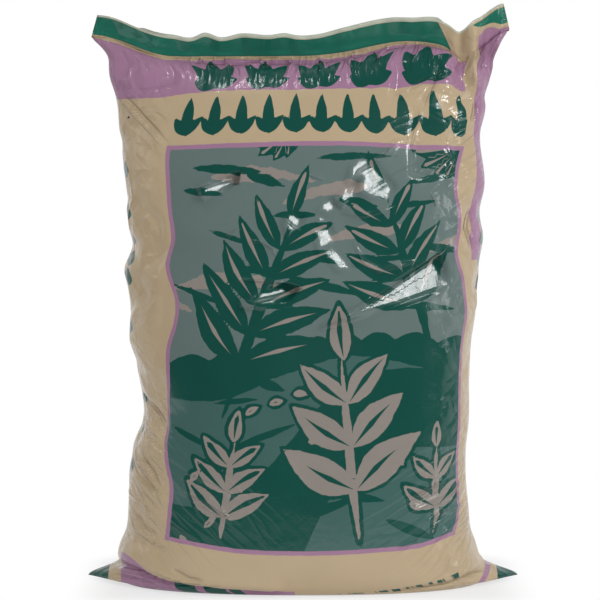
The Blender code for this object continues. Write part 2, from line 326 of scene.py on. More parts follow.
# %% [markdown]
# ## Creases, dents and swells
#
# Packing film creases where the bag was folded, gripped and dropped. Each crease is a soft
# ridge or groove along a line on the film, and each dent or swell an oval. They are placed in
# the film's own coordinates, so they follow it round the bag, and they move the film along its
# normal. On the real film a crease is as sharp as a fold in paper. The grid is too coarse for
# that, so a second cell keeps how far each point is from its crease, and the material's bump
# draws the sharp crest from it later.

# %% Places of the creases
# (width, rise, then the points (u, v) of its line), millimetres for the first two
CREASES = (
    (2.2, 2.2, (-0.266, 0.638), (-0.233, 0.612), (-0.202, 0.587), (-0.175, 0.564)),
    (4.0, -2.6, (-0.251, 0.638), (-0.220, 0.613), (-0.190, 0.587), (-0.168, 0.566)),
    (3.0, -1.0, (-0.229, 0.638), (-0.191, 0.652), (-0.159, 0.667)),
    (4.0, 1.6, (-0.233, 0.674), (-0.233, 0.655), (-0.225, 0.640)),
    (3.4, 2.2, (-0.132, 0.511), (-0.104, 0.525), (-0.078, 0.532)),
    (3.2, 2.0, (-0.096, 0.459), (-0.074, 0.471)),
    (3.2, 2.0, (-0.028, 0.486), (-0.002, 0.466)),
    (3.0, 2.0, (-0.072, 0.455), (-0.050, 0.4545), (-0.038, 0.447), (-0.032, 0.434)),
    (3.0, 2.2, (-0.090, 0.410), (-0.049, 0.408), (-0.021, 0.406), (-0.006, 0.394)),
    (4.0, 2.0, (-0.070, 0.381), (-0.033, 0.389), (-0.008, 0.396)),
    (2.4, 1.6, (0.006, 0.534), (0.026, 0.527)),
    (2.6, 1.8, (0.146, 0.529), (0.172, 0.541)),
    (2.4, 1.6, (0.156, 0.512), (0.166, 0.494)),
    (3.6, 2.6, (0.052, 0.507), (0.068, 0.538), (0.097, 0.552), (0.130, 0.579)),
    (4.0, 1.8, (0.117, 0.496), (0.074, 0.485), (0.038, 0.491)),
    (3.6, 2.2, (0.058, 0.459), (0.071, 0.431), (0.091, 0.419), (0.146, 0.433)),
    (4.2, 3.6, (0.050, 0.369), (0.109, 0.401), (0.164, 0.435)),
    (6.0, -2.2, (0.057, 0.365), (0.119, 0.380), (0.188, 0.399)),
    (2.4, 2.0, (0.126, 0.142), (0.157, 0.155), (0.193, 0.162)),
    (2.4, -1.2, (0.134, 0.135), (0.169, 0.147), (0.196, 0.152)),
    (2.8, 1.8, (0.146, 0.110), (0.186, 0.126), (0.257, 0.131)),
    (2.4, 1.6, (0.115, 0.084), (0.150, 0.096)),
    (2.6, 1.4, (0.181, 0.140), (0.219, 0.153), (0.256, 0.159)),
    (2.6, 1.7, (-0.163, 0.162), (-0.113, 0.140), (-0.071, 0.114)),
    (3.0, -1.3, (-0.166, 0.154), (-0.118, 0.131), (-0.080, 0.108)),
    (2.8, 1.6, (-0.168, 0.121), (-0.142, 0.105), (-0.119, 0.092)),
    (2.8, 1.2, (-0.151, 0.177), (-0.109, 0.165), (-0.069, 0.144)),
    (2.8, 2.2, (-0.240, 0.188), (-0.202, 0.175), (-0.183, 0.147), (-0.166, 0.123)),
    (3.0, -2.0, (-0.219, 0.192), (-0.190, 0.171), (-0.174, 0.147)),
    (2.6, 1.9, (-0.259, 0.141), (-0.210, 0.135), (-0.182, 0.122)),
    (2.8, 2.3, (-0.241, 0.116), (-0.218, 0.099), (-0.192, 0.090), (-0.167, 0.085)),
    (3.6, -2.6, (-0.223, 0.123), (-0.200, 0.104), (-0.174, 0.093)),
    (2.6, 1.6, (-0.220, 0.211), (-0.194, 0.200), (-0.172, 0.189)),
    (3.4, -1.8, (-0.219, 0.170), (-0.193, 0.154), (-0.171, 0.141)),
    (5.0, -2.0, (-0.191, 0.086), (-0.166, 0.075)),
    (5.0, -2.4, (-0.157, 0.057), (-0.135, 0.045), (-0.115, 0.042)),
    (5.0, -4.0, (0.224, 0.496), (0.208, 0.468), (0.217, 0.439)),
    (3.4, 2.4, (0.256, 0.423), (0.256, 0.386), (0.237, 0.357)),
    (5.0, -3.5, (0.242, 0.630), (0.231, 0.596)),
    (4.0, 1.6, (-0.236, 0.562), (-0.226, 0.502), (-0.256, 0.449)),
    (4.0, -2.4, (-0.253, 0.264), (-0.214, 0.250), (-0.185, 0.229)),
    (3.6, 2.0, (-0.259, 0.232), (-0.219, 0.226), (-0.185, 0.212)),
    (6.0, -5.0, (-0.170, 0.706), (-0.090, 0.704), (0.000, 0.706), (0.080, 0.708), (0.170, 0.706)),
    (3.0, 2.6, (-0.130, 0.716), (-0.127, 0.700), (-0.118, 0.684)),
    (3.0, 2.4, (-0.094, 0.716), (-0.098, 0.698), (-0.090, 0.682)),
    (3.0, 3.0, (-0.050, 0.716), (-0.056, 0.700), (-0.075, 0.688)),
    (3.0, 2.6, (-0.020, 0.716), (-0.014, 0.700), (-0.020, 0.680)),
    (3.0, 2.4, (0.020, 0.716), (0.026, 0.696), (0.022, 0.676)),
    (3.4, 2.4, (0.062, 0.716), (0.060, 0.690), (0.070, 0.670)),
    (3.0, 2.6, (0.110, 0.714), (0.100, 0.694), (0.105, 0.674)),
    (3.0, 2.2, (0.150, 0.714), (0.152, 0.690), (0.146, 0.670)),
    (3.4, 2.6, (0.142, 0.636), (0.170, 0.652), (0.206, 0.660)),
    (3.4, -2.6, (0.158, 0.612), (0.176, 0.640), (0.188, 0.676)),
    (3.0, 2.2, (0.137, 0.560), (0.152, 0.596), (0.158, 0.616)),
    (3.2, -2.2, (-0.262, 0.0500), (-0.200, 0.0490), (-0.166, 0.0350), (-0.119, 0.0275),
     (-0.060, 0.0240)),
    (3.2, -2.2, (-0.250, 0.0360), (-0.215, 0.0330), (-0.172, 0.0250)),
    (3.2, -2.2, (0.270, 0.0400), (0.219, 0.0420), (0.184, 0.0300), (0.1435, 0.0250),
     (0.090, 0.0220)),
)
# (u, v, half width, half height, rise)
SWELLS = (
    (0.051, 0.464, 0.024, 0.034, -0.0055),
    (0.109, 0.385, 0.042, 0.020, 0.0025),
    (0.144, 0.515, 0.026, 0.040, 0.0020),
    (-0.108, 0.486, 0.036, 0.026, -0.0020),
    (-0.050, 0.431, 0.030, 0.016, -0.0015),
    (-0.206, 0.670, 0.020, 0.014, 0.0016),
)
print("creases:", len(CREASES), "and swells or dents:", len(SWELLS))

# %% The creased film


def normals(points):
    """Unit normals of a ring grid: the product of its two directions' differences."""
    across = np.roll(points, -1, axis=1) - np.roll(points, 1, axis=1)
    along = np.gradient(points, axis=0)
    normal = np.cross(across, along)
    return normal / np.maximum(np.linalg.norm(normal, axis=2, keepdims=True), 1e-12)


rise = np.zeros((RINGS, POINTS_ROUND))
for width, height, *line in CREASES:
    rise += line_bell(U, V, line, width / 1000) * height / 1000
for centre_u, centre_v, wide, high, height in SWELLS:
    rise += height * bell(np.hypot((U - centre_u) / wide, (V - centre_v) / high), 1.0)
seal_v = V[SEAL_RING, 0]
rise *= smooth_step((seal_v - V) / 0.006) * smooth_step(V / 0.010)
creased_film = smooth_film + normals(smooth_film) * rise[..., None]
print("creases rise from", round(rise.min() * 1000, 2), "to", round(rise.max() * 1000, 2), "mm")

# %% Sharp crests
# a crest's width and height, as shares of its crease's
CREST_WIDTH = 0.90
CREST_RISE = 0.75
FAR = 9.0

# The distance from the nearest crease is in shares of the crest's width.
crest_gap = np.full(V.shape, FAR)
crest_rise = np.zeros(V.shape)
for width, height, *line in CREASES:
    gap, fade = line_gap(U, V, line)
    gap = gap / (CREST_WIDTH * width / 1000)
    nearer = np.abs(gap) < np.abs(crest_gap)
    crest_gap = np.where(nearer, gap, crest_gap)
    crest_rise = np.where(nearer, CREST_RISE * height / 1000 * fade, crest_rise)
crest_rise *= (np.abs(crest_gap) < 4.0) * smooth_step((seal_v - V) / 0.006)
print("sharp crests on", int((crest_rise != 0).sum()), "points")

# %% [markdown]
# ## Flat pieces and folds
#
# Where film is pulled tight between two creases it lies flat, and a flat glossy piece either
# mirrors a lamp all over or not at all. That makes the large white shapes on such a bag, which
# a soft bump never does. The pieces that shine are laid on planes that face half way between
# the high lamp and the camera's place, because a mirror sends a lamp's light along that line.
# The margin at the left is crumpled into small flat triangles, and at the foot the film hangs
# over in two folds.

# %% Places of the flat pieces
# (points (u, v) round each facet, its centre, its turn to the right and up in degrees, the
# softness of its edge)
FACETS = (
    (((0.135, 0.535), (0.190, 0.530), (0.197, 0.600), (0.150, 0.620)),
     (0.165, 0.572), -9.0, -4.0, 0.012),
    (((0.122, 0.632), (0.206, 0.640), (0.200, 0.704), (0.130, 0.704)),
     (0.163, 0.668), -7.0, -4.0, 0.012),
)
# (softness of the edge, then the points (u, v) round it) of the pieces that mirror the lamp
MIRRORS = (
    (0.008, (0.0568, 0.5231), (0.0794, 0.5088), (0.1011, 0.5063), (0.1087, 0.5182), (0.0926, 0.5375),
     (0.0791, 0.5522), (0.0606, 0.5424)),
    (0.006, (0.0178, 0.4733), (0.0276, 0.4713), (0.0317, 0.4890), (0.0202, 0.4926)),
    (0.006, (0.0202, 0.4926), (0.0299, 0.4880), (0.0414, 0.5003), (0.0317, 0.5053)),
    (0.006, (0.0190, 0.4440), (0.0350, 0.4360), (0.0400, 0.4500), (0.0310, 0.4720), (0.0156, 0.4712)),
    (0.006, (0.0420, 0.4213), (0.0586, 0.4234), (0.0515, 0.4307), (0.0391, 0.4499), (0.0248, 0.4428)),
    (0.006, (0.0478, 0.4984), (0.0620, 0.5116), (0.0648, 0.5235), (0.0521, 0.5185), (0.0424, 0.5043)),
    (0.010, (0.1214, 0.3833), (0.1810, 0.4038), (0.1656, 0.4324), (0.1187, 0.4037), (0.0520, 0.3678)),
    (0.006, (-0.1205, 0.5087), (-0.1026, 0.5159), (-0.0828, 0.5260), (-0.0822, 0.5328), (-0.1055, 0.5255),
     (-0.1241, 0.5153)),
    (0.006, (-0.0187, 0.4653), (-0.0065, 0.4712), (-0.0024, 0.4829), (-0.0120, 0.4880), (-0.0222, 0.4784)),
    (0.006, (-0.0494, 0.3785), (-0.0183, 0.3884), (-0.0096, 0.3976), (-0.0229, 0.4022), (-0.0496, 0.3927),
     (-0.0656, 0.3822)),
)
MOST_OUTWARD = 0.010
HIGH_BOX_PLACE = Vector((1.3, -1.5, 1.7))
print("facets:", len(FACETS), "and mirrors:", len(MIRRORS))

# %% Planes


def inside_ring(corners):
    """How far each point lies inside a ring of corners that runs anticlockwise."""
    inside = np.full(V.shape, np.inf)
    for here, there in zip(np.array(corners), np.roll(corners, -1, axis=0)):
        way = (there - here) / np.linalg.norm(there - here)
        inside = np.minimum(inside, (V - here[1]) * way[0] - (U - here[0]) * way[1])
    return inside


def facet_rise(corners, centre, right, up, softness):
    """A plane inside a ring of corners, turned about its centre, that falls off at its edges."""
    slope_round, slope_up = math.tan(math.radians(right)), math.tan(math.radians(up))
    plane = -slope_round * (U - centre[0]) - slope_up * (V - centre[1])
    return plane * smooth_step(inside_ring(corners) / softness + 0.5)


def mirror_rise(film, softness, *corners):
    """How far each point moves along the smooth film's normal to the plane through the middle
    of its piece that faces half way between the lamp and the camera. A plane that would stand
    out too far is sunk."""
    share = smooth_step(1.0 + inside_ring(corners) / softness)
    middle = Vector((film * share[..., None]).sum(axis=(0, 1)) / share.sum())
    facing = (HIGH_BOX_PLACE - middle).normalized() + (CAMERA_PLACE - middle).normalized()
    facing = np.array(facing.normalized())
    gap = np.einsum("ijk,k->ij", np.array(middle) - film, facing)
    rise = share * gap / np.maximum(np.einsum("ijk,k->ij", normals(smooth_film), facing), 0.5)
    return rise - share * max(rise.max() - MOST_OUTWARD, 0.0)


facets = np.zeros((RINGS, POINTS_ROUND))
for facet in FACETS:
    facets += facet_rise(*facet)
print("facets rise from", round(facets.min() * 1000, 2), "to", round(facets.max() * 1000, 2), "mm")

# %% Crumpled margin
LATTICE = 128
MARGIN_EDGE = -0.172


def crumple(cell, turn, seed):
    """Heights from -1 to 1 of a surface of flat triangles: a slanted lattice with a random
    height at each of its points, and a plane over the three points round each place."""
    heights = np.random.default_rng(seed).uniform(-1.0, 1.0, (LATTICE, LATTICE))
    # The 60 and 30 cells keep every place on the bag inside the lattice.
    x = (U * math.cos(turn) + V * math.sin(turn)) / cell + 60.0
    y = (V * math.cos(turn) - U * math.sin(turn)) / cell / math.sin(math.pi / 3) + 60.0
    x = x - y / 2 + 30.0
    column, row = (np.floor(places).astype(int) % (LATTICE - 1) for places in (x, y))
    over, up = x - np.floor(x), y - np.floor(y)
    corner, right = heights[row, column], heights[row, column + 1]
    top, far = heights[row + 1, column], heights[row + 1, column + 1]
    lower = corner + (right - corner) * over + (top - corner) * up
    upper = far + (top - far) * (1 - over) + (right - far) * (1 - up)
    return np.where(over + up < 1, lower, upper)


# the margin between the bag's left side and the printed frame, above the foot's wrinkles
margin = smooth_step((MARGIN_EDGE - U) / 0.014) * smooth_step((U + 0.310) / 0.03)
margin *= smooth_step((V - 0.15) / 0.06) * smooth_step((0.62 - V) / 0.05)
crumpled = margin * (crumple(0.036, 0.5, 4) * 0.0038 + crumple(0.017, 1.1, 9) * 0.0010)
print("the margin is crumpled by up to", round(float(np.abs(crumpled).max()) * 1000, 2), "mm")

# %% Folds over the foot
# (u, v) of the folds: film hangs over them, and there is a groove under them
LEFT_FOLD = (
    (-0.285, 0.0560), (-0.250, 0.0545), (-0.200, 0.0530), (-0.166, 0.0385), (-0.119, 0.0305),
    (-0.076, 0.0270), (-0.020, 0.0250),
)
RIGHT_FOLD = (
    (0.090, 0.0240), (0.1435, 0.0275), (0.184, 0.0335), (0.219, 0.0440), (0.262, 0.0500),
    (0.285, 0.0500),
)


def fold_rise(line, over, under, depth):
    """Over the line the film swells out and fades upwards, and just under it lies a groove."""
    ends = smooth_step((U - line[0][0]) / 0.02) * smooth_step((line[-1][0] - U) / 0.02)
    above = V - smooth_curve(U, line)
    swollen = over * bell(above - 0.004, 0.007 + 0.012 * (above > 0.004))
    return (swollen - depth * bell(above + under, under)) * ends


folds = fold_rise(LEFT_FOLD, 0.0050, 0.0040, 0.0060) + fold_rise(RIGHT_FOLD, 0.0018, 0.0022, 0.0030)
folds *= smooth_step(V / 0.006)
print("folds rise from", round(folds.min() * 1000, 2), "to", round(folds.max() * 1000, 2), "mm")

# %% [markdown]
# ## The slack film settles into wrinkles
#
# The tube has the same girth everywhere, but the filled bag doesn't, so there is film to spare
# under the fin, at the corners and at the waist. Blender's Cloth could gather it, but at the
# spacing that such fine wrinkles need it is slow and hardly moves. So the film is settled here:
# every edge of the grid gets the length that the spare film gives it, and the points are moved,
# over and over, until the edges have those lengths, inside a thin space between the fill and
# the air. The film can't shrink or stretch, so it buckles, as plastic film does.

# %% Where there is film to spare
# (u, v, reach round, reach up, direction of the wrinkles in degrees, spare share)
SPARE = (
    (-0.215, 0.645, 0.040, 0.050, -50, 0.040),
    (0.240, 0.670, 0.035, 0.060, -80, 0.045),
    (0.243, 0.568, 0.030, 0.050, 75, 0.030),
    (0.230, 0.420, 0.030, 0.060, 85, 0.030),
    (-0.235, 0.460, 0.030, 0.080, 95, 0.030),
    (-0.215, 0.200, 0.040, 0.070, -50, 0.055),
    (-0.130, 0.140, 0.060, 0.040, -32, 0.010),
    (0.180, 0.130, 0.070, 0.050, 27, 0.016),
    (-0.230, 0.040, 0.050, 0.030, 40, 0.030),
    (0.230, 0.045, 0.050, 0.030, 150, 0.030),
    (0.330, 0.640, 0.060, 0.060, 60, 0.040),
    (-0.330, 0.640, 0.060, 0.060, -60, 0.040),
    (0.320, 0.200, 0.060, 0.080, -45, 0.040),
    (-0.320, 0.180, 0.060, 0.080, 45, 0.040),
    (0.300, 0.420, 0.040, 0.080, 80, 0.025),
    (-0.310, 0.440, 0.040, 0.080, 100, 0.025),
)
spare_round = 0.004 + 0.030 * smooth_step((V - 0.640) / 0.05)
spare_up = np.full(V.shape, 0.002)
spare_both = np.zeros(V.shape)
for centre_u, centre_v, wide, high, direction, share in SPARE:
    patch = share * bell(np.hypot((U - centre_u) / wide, (V - centre_v) / high), 1.0)
    across_u, across_v = -math.sin(math.radians(direction)), math.cos(math.radians(direction))
    spare_round += patch * across_u**2
    spare_up += patch * across_v**2
    spare_both += patch * across_u * across_v
held = smooth_step(V / 0.02) * smooth_step((seal_v - V) / 0.015)
spare_round, spare_up, spare_both = (s * held for s in (spare_round, spare_up, spare_both))
print("most film to spare:", round(float(spare_round.max()) * 100, 1), "per cent round")

# %% Settling


def lengths(points, other):
    """The distance of each point from its partner."""
    return np.linalg.norm(other - points, axis=2)


def pull(points, other, rest, stiffness):
    """The move that brings each pair of points half way to its rest length."""
    gap = other - points
    length = np.sqrt(np.einsum("ijk,ijk->ij", gap, gap))
    return gap * (0.5 * stiffness * (1.0 - rest / np.maximum(length, 1e-9)))[..., None]


def smooth_noise(generator, shape, reach):
    """White noise whose waves shorter than about a grid step over reach are taken out."""
    waves = np.fft.fft2(generator.standard_normal(shape))
    rows, columns = np.fft.fftfreq(shape[0])[:, None], np.fft.fftfreq(shape[1])[None, :]
    noise = np.fft.ifft2(waves * bell(np.hypot(rows, columns), reach)).real
    return noise / noise.std()


DRAG = 0.92
SHEAR_STIFFNESS = 0.35
FIRST_WAVES = 0.0006


def settle(target, steps, press, bend, inner, outer, seed):
    """Moves the film until its edges have their lengths: pulls on the edges up, round and
    across the squares in turn, a light bending stiffness, and a limit of inner to outer
    along the target's normal."""
    normal = normals(target)
    right = np.roll(target, -1, axis=1)
    rest_up = lengths(target[:-1], target[1:]) * (1.0 + spare_up[:-1])
    rest_round = lengths(target, right) * (1.0 + spare_round)
    half = (spare_round + spare_up) / 2
    rest_rising = lengths(target[:-1], right[1:]) * (1.0 + (half + spare_both)[:-1])
    rest_falling = lengths(right[:-1], target[1:]) * (1.0 + (half - spare_both)[:-1])
    generator = np.random.default_rng(seed)
    loose = (smooth_step(V / 0.016) * smooth_step((seal_v - V) / 0.010))[..., None]
    waves = smooth_noise(generator, V.shape, 0.055) * FIRST_WAVES
    points = target + normal * waves[..., None] * loose
    before = points.copy()
    for step in range(steps):
        speed = (points - before) * DRAG
        before = points.copy()
        points = points + speed + normals(points) * press
        for turn in range(3):
            for start in (0, 1):
                low, high = points[start : RINGS - 1 : 2], points[start + 1 : RINGS : 2]
                move = pull(low, high, rest_up[start::2], 1.0)
                low += move
                high -= move
            for start in (0, 1):
                here = points[:, start::2]
                there = np.roll(points, -1, axis=1)[:, start::2]
                move = pull(here, there, rest_round[:, start::2], 1.0)
                points[:, start::2] += move
                points[:, (np.arange(start, POINTS_ROUND, 2) + 1) % POINTS_ROUND] -= move
            right = np.roll(points, -1, axis=1)
            rising = pull(points[:-1], right[1:], rest_rising, SHEAR_STIFFNESS)
            falling = pull(right[:-1], points[1:], rest_falling, SHEAR_STIFFNESS)
            points[:-1] += rising + np.roll(falling, 1, axis=1)
            points[1:] -= np.roll(rising, 1, axis=1) + falling
        offset = points - target
        points += bend * (np.roll(offset, 1, axis=1) + np.roll(offset, -1, axis=1) - 2 * offset)
        points[1:-1] += bend * (offset[2:] + offset[:-2] - 2 * offset[1:-1])
        out = np.einsum("ijk,ijk->ij", points - target, normal)
        points += normal * (np.clip(out, inner, outer) - out)[..., None]
        points[..., 2] = np.maximum(points[..., 2], 0.0)
        points = target + (points - target) * loose
    return points


began = time.time()
settled_film = settle(
    creased_film, steps=140, press=1e-6, bend=0.012,
    inner=-0.0035, outer=0.0050, seed=7,
)
offset = np.linalg.norm(settled_film - creased_film, axis=2)
print("film settled in", round(time.time() - began, 1), "s; it moved", round(offset.mean() * 1000, 2),
      "mm on average and at most", round(offset.max() * 1000, 2), "mm")

# %% The flat pieces on the settled film
settled_film += normals(smooth_film) * (facets + folds + crumpled)[..., None]
for mirror in MIRRORS:
    rise = mirror_rise(settled_film, *mirror)
    settled_film += normals(smooth_film) * rise[..., None]
    moved = [round(float(value) * 1000, 1) for value in (rise.min(), rise.max())]
    print("a flat piece moved the film by", *moved, "mm")

# %% [markdown]
# ## Print coordinates
#
# The print is laid out flat, in metres on the film, but the film on the bag has shifted and
# stretched a little, so its straight lines run in gentle waves. The stations say where the
# printed frame's edges and the header's lower edge lie on the film. The print's own
# coordinates, p across and q up, are the film's coordinates moved so that those lines are
# straight.

# %% The print's own coordinates
PANEL_LEFT, PANEL_RIGHT = -0.169, 0.208
PANEL_BOTTOM, PANEL_TOP = 0.083, 0.571
HEADER_BOTTOM = 0.646
# (v, u) of the panel's left and right edges, and (u, v) of the lines across
LEFT_LINE = (
    (0.000, -0.169), (0.094, -0.1685), (0.128, -0.1665), (0.159, -0.1657), (0.185, -0.1744),
    (0.231, -0.187), (0.279, -0.1776), (0.333, -0.1682), (0.354, -0.1596), (0.383, -0.1567),
    (0.405, -0.164), (0.432, -0.1722), (0.460, -0.1663), (0.488, -0.1685), (0.525, -0.172),
    (0.551, -0.1743), (0.570, -0.1735), (0.640, -0.169),
)
RIGHT_LINE = (
    (0.000, 0.203), (0.096, 0.2008), (0.110, 0.2095), (0.167, 0.2175), (0.216, 0.2158),
    (0.311, 0.2151), (0.402, 0.2111), (0.441, 0.1922), (0.487, 0.2025), (0.515, 0.1921),
    (0.542, 0.1993), (0.567, 0.2148), (0.651, 0.2246), (0.716, 0.2097),
)
TOP_LINE = (
    (-0.266, 0.566), (-0.169, 0.5686), (-0.067, 0.573), (0.074, 0.5741), (0.130, 0.5712),
    (0.215, 0.5672), (0.266, 0.567),
)
BOTTOM_LINE = (
    (-0.266, 0.100), (-0.168, 0.0919), (-0.074, 0.080), (0.009, 0.0778), (0.095, 0.0807),
    (0.144, 0.0834), (0.201, 0.0955), (0.266, 0.100),
)
HEADER_LINE = (
    (-0.266, 0.615), (-0.241, 0.6218), (-0.134, 0.6453), (-0.054, 0.6496), (0.050, 0.648),
    (0.117, 0.6424), (0.225, 0.6512), (0.266, 0.652),
)


def print_places(u, v):
    """The film's (u, v) moved by how far each measured line is off its straight place,
    fading with the distance from that line."""
    front = smooth_step((FILM_WIDTH / 2 + 0.03 - np.abs(u)) / 0.03)
    shift_p = (PANEL_LEFT - smooth_curve(v, LEFT_LINE)) * bell(u - PANEL_LEFT, 0.060)
    shift_p += (PANEL_RIGHT - smooth_curve(v, RIGHT_LINE)) * bell(u - PANEL_RIGHT, 0.060)
    shift_q = np.zeros(v.shape)
    for place, line in ((PANEL_TOP, TOP_LINE), (PANEL_BOTTOM, BOTTOM_LINE), (HEADER_BOTTOM, HEADER_LINE)):
        shift_q += (place - smooth_curve(u, line)) * bell(v - place, 0.035)
    return u + shift_p * front, v + shift_q * front


# Both faces of the tube carry the same print, so the rear face's u is counted from its middle.
face_u = np.where(np.abs(U) <= FILM_WIDTH / 2, U, U - np.sign(U) * FILM_WIDTH)
P, Q = print_places(U, V)
P = np.where(np.abs(U) <= FILM_WIDTH / 2, P, face_u)
print("print runs from", round(float(P.min()), 3), "to", round(float(P.max()), 3), "m across")

# %% [markdown]
# ## The printed pictures
#
# The picture and the two rows over it are of the bag's own plain design: leafy shoots over
# ploughed ground. A picture could be an image, but then it would blur at close range. Here each
# shape is a number at every point of the film, above zero inside the shape and falling to
# either side, and the material cuts it off at zero, which leaves a clean printed edge.

# %% Leaves


def leaf_shape(p, q, leaves):
    """For leaves given as (p, q of the stalk's end, direction in degrees, length, width):
    how far inside the nearest leaf each point is, its distance from that leaf's rib, and how
    far along the rib it lies. A leaf's half width is (w / 2) sin(pi s^0.8) at a share s."""
    inside = np.full(p.shape, -1.0)
    off_rib = np.zeros(p.shape)
    run_on_rib = np.zeros(p.shape)
    for root_p, root_q, direction, length, width in leaves:
        turn = math.radians(direction)
        along = (p - root_p) * math.cos(turn) + (q - root_q) * math.sin(turn)
        across = -(p - root_p) * math.sin(turn) + (q - root_q) * math.cos(turn)
        across = across - 0.10 * width * np.sin(np.pi * along / length)
        share = np.clip(along / length, 0.0, 1.0)
        edge = width / 2 * np.sin(np.pi * share**0.8) - np.abs(across)
        beyond = np.maximum(along - length, 0.0) + np.maximum(-along, 0.0)
        edge = edge - beyond
        nearer = edge > inside
        off_rib = np.where(nearer, across, off_rib)
        run_on_rib = np.where(nearer, along, run_on_rib)
        inside = np.maximum(inside, edge)
    return inside, off_rib, run_on_rib


def shoot(root_p, root_q, direction, height, pairs, leaf_length, leaf_width):
    """The leaves of one shoot: pairs that shorten up its stem, and one at its tip."""
    turn = math.radians(direction)
    leaves = []
    for number in range(pairs):
        share = (number + 0.6) / (pairs + 0.6)
        size = 1.0 - 0.45 * share
        stem_p = root_p + math.cos(turn) * height * share
        stem_q = root_q + math.sin(turn) * height * share
        for side in (-1, 1):
            turned = direction + side * (58 - 18 * share)
            leaves.append((stem_p, stem_q, turned, leaf_length * size, leaf_width * size))
    tip = (root_p + math.cos(turn) * height, root_q + math.sin(turn) * height)
    leaves.append((*tip, direction, leaf_length * 0.6, leaf_width * 0.55))
    return leaves


def spread(number, step, low, high):
    """Evenly scattered values: the fractional part of number times step, from low to high."""
    return low + (high - low) * ((number * step) % 1.0)


def tuft(root_p, root_q, turns, length, width):
    """Leaves that spread from one root like the fingers of a hand."""
    return [(root_p, root_q, 90 + turn, length * (1.0 - abs(turn) / 300), width) for turn in turns]


# %% The plants and the fields
pale_leaves = (
    shoot(0.070, 0.125, 96, 0.190, 3, 0.115, 0.046)
    + shoot(-0.100, 0.105, 82, 0.110, 3, 0.070, 0.028)
    + shoot(0.168, 0.108, 90, 0.095, 2, 0.060, 0.024)
    + [(spread(n, 0.618, -0.15, 0.18), spread(n, 0.414, 0.095, 0.280), spread(n, 0.37, -50, 60), 0.020, 0.008)
       for n in range(14)]
)
pale_stems = [
    (0.070, 0.095, 96, 0.230, 0.012), (-0.100, 0.092, 82, 0.135, 0.009), (0.168, 0.095, 90, 0.120, 0.008),
]
pale_streaks = [
    (spread(n, 0.618, -0.20, 0.17), spread(n, 0.414, 0.385, 0.560), spread(n, 0.73, -14, 20),
     spread(n, 0.37, 0.06, 0.13), spread(n, 0.29, 0.010, 0.020))
    for n in range(11)
]
dark_leaves = (
    shoot(-0.085, 0.290, 70, 0.200, 5, 0.120, 0.036)
    + shoot(0.140, 0.360, 106, 0.150, 4, 0.100, 0.032)
    + tuft(-0.020, 0.585, (105, 130, 155, 180, 205, 230), 0.085, 0.024)
    + tuft(0.200, 0.570, (95, 118, 141, 164), 0.095, 0.026)
)
dark_stems = [(-0.100, 0.240, 70, 0.280, 0.014), (0.160, 0.310, 106, 0.220, 0.012)] + [
    (spread(n, 0.618, -0.18, 0.16), spread(n, 0.55, 0.375, 0.560), spread(n, 0.31, -20, 8),
     spread(n, 0.43, 0.05, 0.12), spread(n, 0.71, 0.006, 0.012))
    for n in range(3, 19)
]
field_slits = [
    (spread(n, 0.618, -0.17, 0.17), spread(n, 0.285, 0.095, 0.290), spread(n, 0.47, -35, 25),
     spread(n, 0.43, 0.04, 0.10), spread(n, 0.71, 0.006, 0.013))
    for n in range(16)
]
print("leaves:", len(pale_leaves), "pale and", len(dark_leaves), "dark")

# %% The two rows and the side
header_leaves = []
for number in range(5):
    root = -0.116 + number * 0.069
    header_leaves += tuft(root, 0.652, (-64, 64), 0.042, 0.019)
    header_leaves += tuft(root, 0.650, (-30, 0, 30), 0.062, 0.021)
row_leaves = []
for number in range(11):
    root = -0.148 + number * 0.0348
    row_leaves += tuft(root, 0.5825, (-36, 36), 0.036, 0.0120)
    row_leaves += tuft(root, 0.5810, (0,), 0.060, 0.0150)
side_leaves = [(-0.240, stalk, 84, length, 0.025) for stalk, length in (
    (0.529, 0.024), (0.478, 0.018), (0.446, 0.014), (0.420, 0.020), (0.396, 0.022), (0.338, 0.020),
    (0.250, 0.014), (0.214, 0.022), (0.166, 0.022))]
side_leaves += [(0.258, stalk, 100, 0.024, 0.017) for stalk in (0.386, 0.414, 0.444, 0.470)]
print("leaves in the rows and at the sides:", len(header_leaves + row_leaves + side_leaves))

# %% The printed shapes at every point
pale_leaf, pale_rib, pale_run = leaf_shape(P, Q, pale_leaves)
pale_stem = leaf_shape(P, Q, pale_stems)[0]
dark_leaf, dark_rib, dark_run = leaf_shape(P, Q, dark_leaves)
dark_stem = leaf_shape(P, Q, dark_stems)[0]
pale_streak = leaf_shape(P, Q, pale_streaks)[0]
field_slit = leaf_shape(P, Q, field_slits)[0]
row_leaf = leaf_shape(P, Q, header_leaves + row_leaves + side_leaves)[0]

# The ground and the hedge end in wavy lines. The furrows are the waves of a sine that runs with
# the logarithm of the nearness, so they crowd together towards the hedge.
rolling = 0.016 * np.sin(11.0 * P + 0.6)
ground = Q - (0.300 + rolling + 0.008 * np.sin(27.0 * P))
hedge = Q - (0.322 + rolling + 0.010 * np.abs(np.sin(46.0 * P + 5.0 * np.sin(9.0 * P))))
near = np.maximum(0.42 - Q, 0.05)
sway = 1.1 * np.sin(9.0 * P + 1.5 * np.sin(7.0 * P))
field = np.sin(5.2 * np.log(near / 0.1) + sway + 12.0 * P) * near * 0.10
print("points under a leaf:", int((np.maximum(np.maximum(pale_leaf, dark_leaf), row_leaf) > 0).sum()))

# %% The foot's, the right edge's and the corners' print
# (p, q) of the fold over the foot at the left
FOOT_FOLD = (
    (-0.266, 0.0535), (-0.200, 0.0520), (-0.166, 0.0377), (-0.119, 0.0300), (-0.076, 0.0266),
    (0.000, 0.0235),
)
